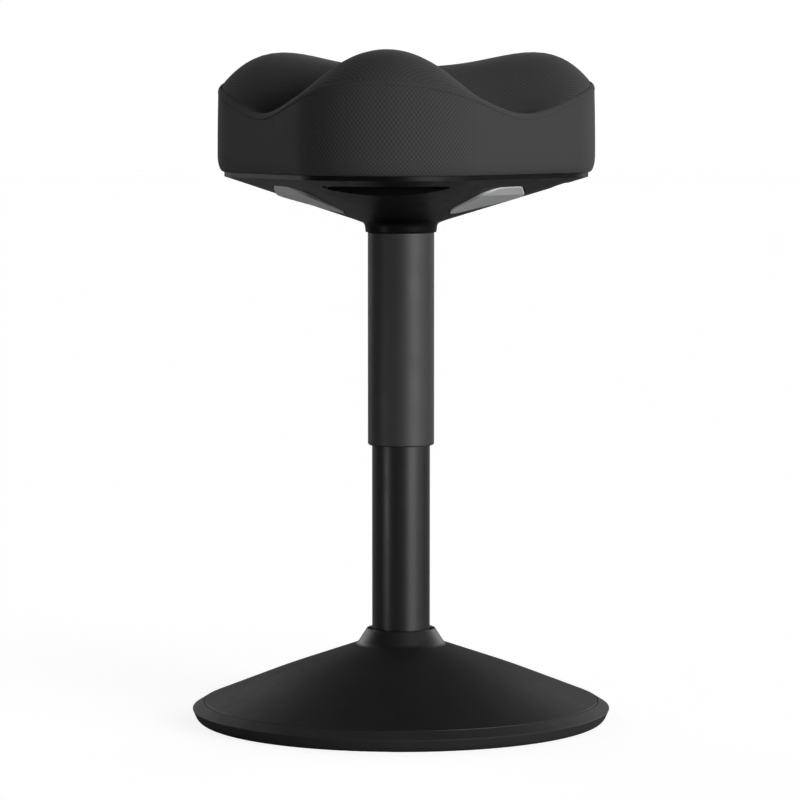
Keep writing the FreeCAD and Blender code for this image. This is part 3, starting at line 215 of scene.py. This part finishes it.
def add_floor():
    """A wide pale floor that looks white but throws little light up under the stool."""
    bpy.ops.mesh.primitive_plane_add(size=FLOOR_SIZE, location=(0, 0, 0))
    floor = bpy.context.object
    floor.name = "studio_floor"
    material = bpy.data.materials.new("floor_paint")
    material.use_nodes = True
    tree = material.node_tree
    tree.nodes.remove(tree.nodes["Principled BSDF"])
    seen = tree.nodes.new("ShaderNodeLightPath")
    pale = tree.nodes.new("ShaderNodeBsdfDiffuse")
    pale.inputs["Color"].default_value = (FLOOR_PAINT, FLOOR_PAINT, FLOOR_PAINT, 1)
    glow = tree.nodes.new("ShaderNodeEmission")
    glow.inputs["Strength"].default_value = FLOOR_GLOW
    bright = tree.nodes.new("ShaderNodeAddShader")
    tree.links.new(pale.outputs[0], bright.inputs[0])
    tree.links.new(glow.outputs[0], bright.inputs[1])
    dim = tree.nodes.new("ShaderNodeBsdfDiffuse")
    dim.inputs["Color"].default_value = (FLOOR_BOUNCE, FLOOR_BOUNCE, FLOOR_BOUNCE, 1)
    mix = tree.nodes.new("ShaderNodeMixShader")
    tree.links.new(seen.outputs["Is Camera Ray"], mix.inputs[0])
    tree.links.new(dim.outputs[0], mix.inputs[1])
    tree.links.new(bright.outputs[0], mix.inputs[2])
    tree.links.new(mix.outputs[0], tree.nodes["Material Output"].inputs["Surface"])
    floor.data.materials.append(material)


def light_world():
    """A white cyclorama behind the stool, in a room that is dim all round."""
    world = bpy.data.worlds.new("studio")
    bpy.context.scene.world = world
    world.use_nodes = True
    tree = world.node_tree
    room = tree.nodes["Background"]
    room.inputs["Color"].default_value = (1.0, 1.0, 1.0, 1)
    room.inputs["Strength"].default_value = ROOM_LIGHT
    backdrop = tree.nodes.new("ShaderNodeBackground")
    backdrop.inputs["Color"].default_value = (1.0, 1.0, 1.0, 1)
    backdrop.inputs["Strength"].default_value = BACKDROP_LIGHT
    seen = tree.nodes.new("ShaderNodeLightPath")
    mix = tree.nodes.new("ShaderNodeMixShader")
    tree.links.new(seen.outputs["Is Camera Ray"], mix.inputs[0])
    tree.links.new(room.outputs[0], mix.inputs[1])
    tree.links.new(backdrop.outputs[0], mix.inputs[2])
    tree.links.new(mix.outputs[0], tree.nodes["World Output"].inputs["Surface"])
    bpy.context.scene.view_settings.view_transform = "Standard"


# Materials

class Shader:
    """A principled material and short ways to wire its nodes."""

    def __init__(self, name):
        self.material = bpy.data.materials.new(name)
        self.material.use_nodes = True
        self.tree = self.material.node_tree
        self.bsdf = self.tree.nodes["Principled BSDF"]
        self.place = self.node("ShaderNodeTexCoord").outputs["Object"]

    def node(self, kind, **settings):
        made = self.tree.nodes.new(kind)
        for key, value in settings.items():
            setattr(made, key, value)
        return made

    def link(self, output, target):
        self.tree.links.new(output, target)

    def set(self, **values):
        for key, value in values.items():
            self.bsdf.inputs[key.replace("_", " ")].default_value = value

    def noise(self, scale, detail=2.0, stretch=None):
        """Noise over the piece, from 0 to 1; stretch draws it out along an axis."""
        texture = self.node("ShaderNodeTexNoise")
        texture.inputs["Scale"].default_value = scale
        texture.inputs["Detail"].default_value = detail
        place = self.place
        if stretch:
            mapping = self.node("ShaderNodeMapping")
            mapping.inputs["Scale"].default_value = stretch
            self.link(place, mapping.inputs["Vector"])
            place = mapping.outputs["Vector"]
        self.link(place, texture.inputs["Vector"])
        return texture.outputs["Fac"]

    def ramp(self, value, low, high, start=0.3, end=0.7):
        """Two colours or greys across a range of a value."""
        ramp = self.node("ShaderNodeValToRGB")
        ramp.color_ramp.elements[0].position = start
        ramp.color_ramp.elements[1].position = end
        ramp.color_ramp.elements[0].color = as_colour(low)
        ramp.color_ramp.elements[1].color = as_colour(high)
        self.link(value, ramp.inputs["Fac"])
        return ramp.outputs["Color"]

    def bump(self, height, strength, depth):
        bump = self.node("ShaderNodeBump")
        bump.inputs["Strength"].default_value = strength
        bump.inputs["Distance"].default_value = depth
        self.link(height, bump.inputs["Height"])
        self.link(bump.outputs["Normal"], self.bsdf.inputs["Normal"])


def as_colour(value):
    if isinstance(value, (int, float)):
        return (value, value, value, 1)
    return (*value, 1)


def shaded(colour, factor):
    return tuple(channel * factor for channel in colour)


def plastic(name, colour, roughness, shine=0.5, grain=900.0, grain_depth=0.04 * MM):
    """Moulded plastic or rubber: a fine spark-eroded grain, and a little unevenness in its gloss."""
    shader = Shader(name)
    shader.set(Specular_IOR_Level=shine)
    tint = shader.ramp(shader.noise(scale=18.0), shaded(colour, 0.93), shaded(colour, 1.07))
    shader.link(tint, shader.bsdf.inputs["Base Color"])
    gloss = shader.ramp(shader.noise(scale=55.0), roughness * 0.93, min(roughness * 1.07, 1.0))
    shader.link(gloss, shader.bsdf.inputs["Roughness"])
    shader.bump(shader.noise(scale=grain, detail=3.0), strength=0.5, depth=grain_depth)
    return shader.material


def painted(name, colour, roughness, shine=0.5):
    """Powder coat: soft orange peel over a fine speckle."""
    shader = Shader(name)
    shader.set(Specular_IOR_Level=shine)
    tint = shader.ramp(shader.noise(scale=1400.0), shaded(colour, 0.85), shaded(colour, 1.15))
    shader.link(tint, shader.bsdf.inputs["Base Color"])
    gloss = shader.ramp(shader.noise(scale=60.0), roughness * 0.92, roughness * 1.08)
    shader.link(gloss, shader.bsdf.inputs["Roughness"])
    shader.bump(shader.noise(scale=420.0, detail=2.0), strength=0.35, depth=0.05 * MM)
    return shader.material


def metal(name, colour, roughness, turned=False):
    """Bare metal, with fine turning marks where it came off a lathe."""
    shader = Shader(name)
    shader.set(Metallic=1.0)
    stretch = (1.0, 1.0, 40.0) if turned else (1.0, 1.0, 1.0)
    marks = shader.noise(scale=220.0 if turned else 90.0, detail=3.0, stretch=stretch)
    tint = shader.ramp(marks, shaded(colour, 0.9), shaded(colour, 1.05))
    shader.link(tint, shader.bsdf.inputs["Base Color"])
    gloss = shader.ramp(marks, roughness * 0.75, roughness * 1.25)
    shader.link(gloss, shader.bsdf.inputs["Roughness"])
    shader.bump(marks, strength=0.2, depth=0.02 * MM)
    return shader.material


def plywood(name):
    """Bare birch, with its grain drawn out along the board."""
    shader = Shader(name)
    grain = shader.noise(scale=60.0, detail=6.0, stretch=(1.0, 14.0, 1.0))
    tint = shader.ramp(grain, (0.42, 0.28, 0.15), (0.62, 0.46, 0.28))
    shader.link(tint, shader.bsdf.inputs["Base Color"])
    shader.set(Roughness=0.6)
    shader.bump(grain, strength=0.3, depth=0.1 * MM)
    return shader.material


def woven(name, colour):
    """Charcoal upholstery: a diamond weave of fine yarns, as a product of two waves."""
    shader = Shader(name)
    shader.set(Roughness=0.9, Specular_IOR_Level=0.25, Sheen_Weight=0.08, Sheen_Roughness=0.45)
    shader.bsdf.inputs["Sheen Tint"].default_value = (0.8, 0.8, 0.85, 1)
    weave = shader.node("ShaderNodeUVMap", uv_map="cloth")
    parts = shader.node("ShaderNodeSeparateXYZ")
    shader.link(weave.outputs["UV"], parts.inputs["Vector"])
    waves = []
    for axis in ("X", "Y"):
        scaled = shader.node("ShaderNodeMath", operation="MULTIPLY")
        shader.link(parts.outputs[axis], scaled.inputs[0])
        scaled.inputs[1].default_value = math.pi / WEAVE_PITCH
        wave = shader.node("ShaderNodeMath", operation="SINE")
        shader.link(scaled.outputs[0], wave.inputs[0])
        waves.append(wave)
    crossing = shader.node("ShaderNodeMath", operation="MULTIPLY")
    shader.link(waves[0].outputs[0], crossing.inputs[0])
    shader.link(waves[1].outputs[0], crossing.inputs[1])
    lifted = shader.node("ShaderNodeMath", operation="MULTIPLY_ADD")
    shader.link(crossing.outputs[0], lifted.inputs[0])
    lifted.inputs[1].default_value = 0.5
    lifted.inputs[2].default_value = 0.5
    tint = shader.ramp(lifted.outputs[0], shaded(colour, 0.74), shaded(colour, 1.26), 0.1, 0.9)
    shader.link(tint, shader.bsdf.inputs["Base Color"])
    shader.bump(lifted.outputs[0], strength=0.5, depth=0.2 * MM)
    return shader.material


def foam(name):
    """Open-celled moulded foam."""
    shader = Shader(name)
    cells = shader.noise(scale=700.0, detail=3.0)
    tint = shader.ramp(cells, (0.5, 0.47, 0.38), (0.72, 0.69, 0.6))
    shader.link(tint, shader.bsdf.inputs["Base Color"])
    shader.set(Roughness=0.95)
    shader.bump(cells, strength=0.8, depth=0.3 * MM)
    return shader.material


def make_finishes():
    """One finish for each material slot of the record, and one for the thread."""
    return {
        "rim_rubber": plastic("rim_rubber", (0.023, 0.023, 0.0235), 0.58, 0.2, 700.0),
        "base_paint": painted("base_paint", (0.010, 0.010, 0.0105), 0.46, 0.42),
        "plate_steel": painted("plate_steel", (0.05, 0.05, 0.052), 0.6),
        "ballast_iron": plastic("ballast_iron", (0.08, 0.08, 0.082), 0.7, 0.5, 260.0, 0.3 * MM),
        "column_paint": painted("column_paint", (0.010, 0.010, 0.0105), 0.36, 0.4),
        "foot_steel": metal("foot_steel", (0.55, 0.55, 0.56), 0.35, True),
        "screw_steel": metal("screw_steel", (0.5, 0.5, 0.52), 0.35),
        # The bush plastic is darkened well below natural acetal's pale grey: painted shade for the
        # gap between the pan's neck and the sleeve, where it shows
        "bush_plastic": plastic("bush_plastic", (0.3, 0.3, 0.29), 0.45),
        "bearing_steel": metal("bearing_steel", (0.72, 0.72, 0.74), 0.12, True),
        "rod_chrome": metal("rod_chrome", (0.8, 0.8, 0.82), 0.08, True),
        "bump_rubber": plastic("bump_rubber", (0.02, 0.02, 0.02), 0.6),
        "piston_brass": metal("piston_brass", (0.68, 0.52, 0.24), 0.3, True),
        "seal_rubber": plastic("seal_rubber", (0.02, 0.02, 0.02), 0.6),
        "cylinder_steel": painted("cylinder_steel", (0.02, 0.02, 0.021), 0.3),
        "valve_steel": metal("valve_steel", (0.6, 0.6, 0.62), 0.25, True),
        "sleeve_plastic": plastic("sleeve_plastic", (0.028, 0.028, 0.029), 0.5, 0.4),
        "hub_aluminium": metal("hub_aluminium", (0.5, 0.5, 0.51), 0.5),
        "pan_plastic": plastic("pan_plastic", (0.004, 0.004, 0.0041), 0.36, 0.1, 600.0),
        "paddle_plastic": plastic("paddle_plastic", (0.60, 0.61, 0.61), 0.4, 0.5, 800.0),
        "board_wood": plywood("board_wood"),
        "cushion_foam": foam("cushion_foam"),
        "thread": plastic("thread", (0.085, 0.085, 0.09), 0.7, 0.2),
        "cover_fabric": woven("cover_fabric", (0.041, 0.041, 0.0425)),
    }


def dress_frame(finishes):
    """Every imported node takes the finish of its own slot."""
    for row in frame["record"]["subparts"]:
        node = frame["nodes"][row["node"]]
        node.data.materials.clear()
        node.data.materials.append(finishes[row["material_slot"]])


# Cushion

def crown(share, angle):
    """Height of the three-lobed top; the angle is from the front corner."""
    dome = sum(rise * share ** power for rise, power in zip(CROWN_DOME, (2, 4, 6)))
    lobes = LOBE_RISE * share ** 2 + LOBE_SWELL * share ** 3 - LOBE_FALL * share ** 5
    return CROWN_HEIGHT + dome + lobes * math.cos(CORNERS * angle)


def seam_height(angle):
    """The seam waves with the lobes."""
    return SEAM_HEIGHT + SEAM_WAVE * math.cos(CORNERS * angle)


def facing_way(angle):
    """A level way of length 1 at an angle from +X."""
    return Vector((math.cos(angle), math.sin(angle), 0))


def around_cushion(arc_steps, side_steps):
    """Stations round the outline: (corner arc's centre direction, way out, length so far).

    They start in the middle of the rear side and go by way of the left, front and right.
    """
    stations = []
    half_steps = side_steps // 2
    corner_turn = math.radians(360 / CORNERS)
    side_length = 2 * CORNER_REACH * COS_30
    length = 0.0
    for corner in range(CORNERS):
        facing = math.radians(REAR_LEFT_CORNER) + corner_turn * corner
        before = facing_way(facing - corner_turn / 2)
        after = facing_way(facing + corner_turn / 2)
        centre = facing_way(facing)
        along = Vector((-before.y, before.x, 0))
        for step in range(half_steps):
            gone = step / half_steps
            place = centre - along * COS_30 * (1 - gone)
            stations.append((place, before, length + gone * side_length / 2))
        length += side_length / 2
        for step in range(arc_steps):
            turn = facing - corner_turn / 2 + corner_turn * step / arc_steps
            way = facing_way(turn)
            gone = corner_turn * step / arc_steps * CORNER_RADIUS
            stations.append((centre, way, length + gone))
        length += corner_turn * CORNER_RADIUS
        along = Vector((-after.y, after.x, 0))
        for step in range(half_steps):
            gone = step / half_steps
            place = centre + along * COS_30 * gone
            stations.append((place, after, length + gone * side_length / 2))
        length += side_length / 2
    return stations, length


def cushion_ring(stations, share, inset, height):
    """One closed row of points; height is worked out from share and angle."""
    points = []
    for centre, way, _ in stations:
        point = (centre * CORNER_REACH + way * (CORNER_RADIUS - inset)) * share
        angle = math.atan2(point.x, -point.y)
        point.z = height(share, angle)
        points.append(point)
    return points


def side_profile():
    """Inset from the widest line against height up the band, bottom edge first."""
    rows = []
    for step in range(ROLL_STEPS + 1):
        turn = math.radians(90) * step / ROLL_STEPS
        rows.append((BOTTOM_DRAW * (1 - math.sin(turn)), BOTTOM_ROLL * (1 - math.cos(turn))))
    return rows


def lofted(name, rows, middle_low, middle_high, lengths):
    """A closed skin through rows of points, bottom to top, with its cloth map in metres."""
    mesh = bpy.data.meshes.new(name)
    made = bmesh.new()
    cloth = made.loops.layers.uv.new("cloth")
    count = len(rows[0][0])
    corners = [[made.verts.new(point) for point in points] for points, _ in rows]
    heights = [height for _, height in rows]
    for row in range(len(rows) - 1):
        for step in range(count):
            ahead = (step + 1) % count
            low_pair = (corners[row][step], corners[row][ahead])
            high_pair = (corners[row + 1][ahead], corners[row + 1][step])
            face = made.faces.new(low_pair + high_pair)
            face.smooth = True
            places = (step, step + 1, step + 1, step)
            at_rows = (row, row, row + 1, row + 1)
            for loop, place, at in zip(face.loops, places, at_rows):
                if heights[at] is None or heights[row + 1] is None:
                    loop[cloth].uv = (loop.vert.co.x, loop.vert.co.y)
                else:
                    loop[cloth].uv = (lengths[place], heights[at])
    for middle, row, flip in ((middle_low, corners[0], True), (middle_high, corners[-1], False)):
        centre = made.verts.new(middle)
        for step in range(count):
            trio = (row[step], row[(step + 1) % count], centre)
            face = made.faces.new(trio[::-1] if flip else trio)
            face.smooth = True
            for loop in face.loops:
                loop[cloth].uv = (loop.vert.co.x, loop.vert.co.y)
    made.to_mesh(mesh)
    made.free()
    piece = bpy.data.objects.new(name, mesh)
    bpy.context.scene.collection.objects.link(piece)
    return piece


def level(height):
    """The same height all round a row."""
    return lambda share, angle: height


def cushion_rows(stations, band_rows, seam_profile, shares):
    """Rows from the board pocket, round the lip and up the band, to the middle of the top."""
    board_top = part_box("seat_board")[1].z + BOARD_GAP
    lip_top = CUSHION_BOTTOM + LIP_THICKNESS
    roll_top = CUSHION_BOTTOM + BOTTOM_ROLL
    rows = []

    def add(share, inset, height, cloth_height=None):
        rows.append((cushion_ring(stations, share, inset, height), cloth_height))

    add(1.0, BOARD_POCKET, level(board_top))
    add(1.0, BOARD_POCKET, level(lip_top))
    add(1.0, LIP_INSET, level(lip_top))
    add(1.0, LIP_INSET, level(CUSHION_BOTTOM))
    for inset, rise in side_profile():
        add(1.0, inset, level(CUSHION_BOTTOM + rise), CUSHION_BOTTOM + rise)
    band_inset, band_drop = seam_profile[0]
    for step in range(1, band_rows):
        gone = step / band_rows

        def height(share, angle, gone=gone):
            return roll_top + (seam_height(angle) + band_drop * MM - roll_top) * gone

        add(1.0, band_inset * MM * gone ** 2, height, height(1.0, math.pi / 2))
    for inset, rise in seam_profile:
        def height(share, angle, rise=rise):
            return seam_height(angle) + rise * MM

        add(1.0, inset * MM, height, SEAM_HEIGHT + rise * MM)
    for share in shares:
        dip = SEAM_DIP * max(0.0, 1 - (1 - share) / SEAM_DIP_SHARE) ** 2

        def height(share, angle, dip=dip):
            return crown(share, angle) - dip

        add(share, SEAM_INSET, height)
    return rows


def cushion_skin(name, arc_steps, side_steps, band_rows, seam_profile, shares):
    """The whole closed form of the cushion, fine or coarse."""
    stations, girth = around_cushion(arc_steps, side_steps)
    lengths = [length for _, _, length in stations] + [girth]
    rows = cushion_rows(stations, band_rows, seam_profile, shares)
    middle_low = Vector((0, 0, rows[0][0][0].z))
    middle_high = Vector((0, 0, crown(0, 0)))
    return lofted(name, rows, middle_low, middle_high, lengths)


def swollen(rest_skin):
    """How far pressure swells the cover from each point of a coarse copy, sewn edges held."""
    held = rest_skin.vertex_groups.new(name="sewn")
    bottom = CUSHION_BOTTOM + BOTTOM_ROLL * HELD_ROLL_SHARE
    rim = (CORNER_REACH / 2 + CORNER_RADIUS) * HELD_OUT_SHARE
    for vertex in rest_skin.data.vertices:
        angle = math.atan2(vertex.co.x, -vertex.co.y)
        at_seam = abs(vertex.co.z - seam_height(angle)) < HELD_BY_SEAM
        if vertex.co.z < bottom or (at_seam and vertex.co.xy.length > rim):
            held.add([vertex.index], 1.0, "REPLACE")
    settings = rest_skin.modifiers.new("swell", "CLOTH").settings
    settings.quality = CLOTH_QUALITY
    settings.mass = CLOTH_MASS
    settings.tension_stiffness = CLOTH_STIFFNESS
    settings.compression_stiffness = CLOTH_STIFFNESS
    settings.bending_stiffness = CLOTH_BENDING
    settings.vertex_group_mass = "sewn"
    settings.use_pressure = True
    settings.uniform_pressure_force = CLOTH_PRESSURE
    settings.effector_weights.gravity = 0
    for frame_number in range(1, CLOTH_FRAMES + 1):
        bpy.context.scene.frame_set(frame_number)
    graph = bpy.context.evaluated_depsgraph_get()
    puffed = rest_skin.evaluated_get(graph).to_mesh()
    moves = []
    for before, after in zip(rest_skin.data.vertices, puffed.vertices):
        move = after.co - before.co
        if move.length > SWELL_CAP:
            move = move * (SWELL_CAP / move.length)
        moves.append((before.co.copy(), move))
    rest_skin.evaluated_get(graph).to_mesh_clear()
    bpy.context.scene.frame_set(1)
    bpy.data.objects.remove(rest_skin, do_unlink=True)
    return moves


def swell(piece):
    """The cloth simulation of a coarse copy, carried over to the fine skin."""
    coarse = cushion_skin(
        "cushion_cloth",
        COARSE_ARC_STEPS,
        COARSE_SIDE_STEPS,
        COARSE_BAND_ROWS,
        SEAM_PROFILE[::COARSE_SEAM_STRIDE],
        TOP_SHARES[::COARSE_TOP_STRIDE],
    )
    moves = swollen(coarse)
    tree = KDTree(len(moves))
    for place, (spot, _) in enumerate(moves):
        tree.insert(spot, place)
    tree.balance()
    for vertex in piece.data.vertices:
        weight_sum = 0.0
        pull = Vector()
        for _, place, distance in tree.find_n(vertex.co, SWELL_NEIGHBOURS):
            weight = math.exp(-(distance / SWELL_REACH) ** 2) + SMALLEST_WEIGHT
            pull += moves[place][1] * weight
            weight_sum += weight
        vertex.co += pull / weight_sum
    piece.data.update()


def make_cushion(finishes):
    """Foam and sewn cover in one closed form, with a pocket below for the seat board."""
    piece = cushion_skin("cushion", ARC_STEPS, SIDE_STEPS, BAND_ROWS, SEAM_PROFILE, TOP_SHARES)
    swell(piece)
    piece.data.materials.append(finishes["cover_fabric"])
    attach(piece, "seat")
    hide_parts("cover_side", "cover_top", "cushion_foam")


def on_outline(stations, girth, distance, inset):
    """A point of the band's outline, by its distance along it, and the way along there."""
    distance = distance % girth
    place = bisect.bisect_right([length for _, _, length in stations], distance) - 1
    here = stations[place]
    after = stations[(place + 1) % len(stations)]
    end = after[2] if place + 1 < len(stations) else girth
    gone = (distance - here[2]) / (end - here[2])
    spots = []
    for centre, way, _ in (here, after):
        spots.append(centre * CORNER_REACH + way * (CORNER_RADIUS - inset))
    return spots[0].lerp(spots[1], gone), here[1].lerp(after[1], gone).normalized()


def make_topstitch(finishes):
    """Single stitches along the groove under the seam, each a short thread with thin ends."""
    stations, girth = around_cushion(ARC_STEPS, SIDE_STEPS)
    count = round(girth / (STITCH_LENGTH + STITCH_GAP))
    step_length = girth / count
    made = bmesh.new()
    for number in range(count):
        rings = []
        for part in range(STITCH_RINGS):
            share = part / (STITCH_RINGS - 1)
            distance = number * step_length + share * STITCH_LENGTH
            spot, way = on_outline(stations, girth, distance, STITCH_INSET)
            spot.z = seam_height(math.atan2(spot.x, -spot.y)) - STITCH_DROP
            lift = math.sin(math.pi * share)
            radius = THREAD_RADIUS * (THREAD_TIP_SHARE + (1 - THREAD_TIP_SHARE) * lift)
            spot += way * (lift - 1) * THREAD_RADIUS
            ring = []
            for side in range(THREAD_SIDES):
                turn = 2 * math.pi * side / THREAD_SIDES
                out = way * math.cos(turn) + Vector((0, 0, math.sin(turn)))
                ring.append(made.verts.new(spot + out * radius))
            rings.append(ring)
        for first, second in zip(rings, rings[1:]):
            for side in range(THREAD_SIDES):
                ahead = (side + 1) % THREAD_SIDES
                corners = (first[side], first[ahead], second[ahead], second[side])
                made.faces.new(corners).smooth = True
        made.faces.new(rings[0][::-1])
        made.faces.new(rings[-1])
    bmesh.ops.recalc_face_normals(made, faces=made.faces)
    mesh = bpy.data.meshes.new("topstitch")
    made.to_mesh(mesh)
    made.free()
    piece = bpy.data.objects.new("topstitch", mesh)
    bpy.context.scene.collection.objects.link(piece)
    piece.data.materials.append(finishes["thread"])
    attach(piece, "seat")


finishes = make_finishes()
dress_frame(finishes)
add_camera()
add_floor()
light_world()
for softbox in SOFTBOXES:
    add_softbox(*softbox)
add_low_panel()
make_topstitch(finishes)
make_cushion(finishes)
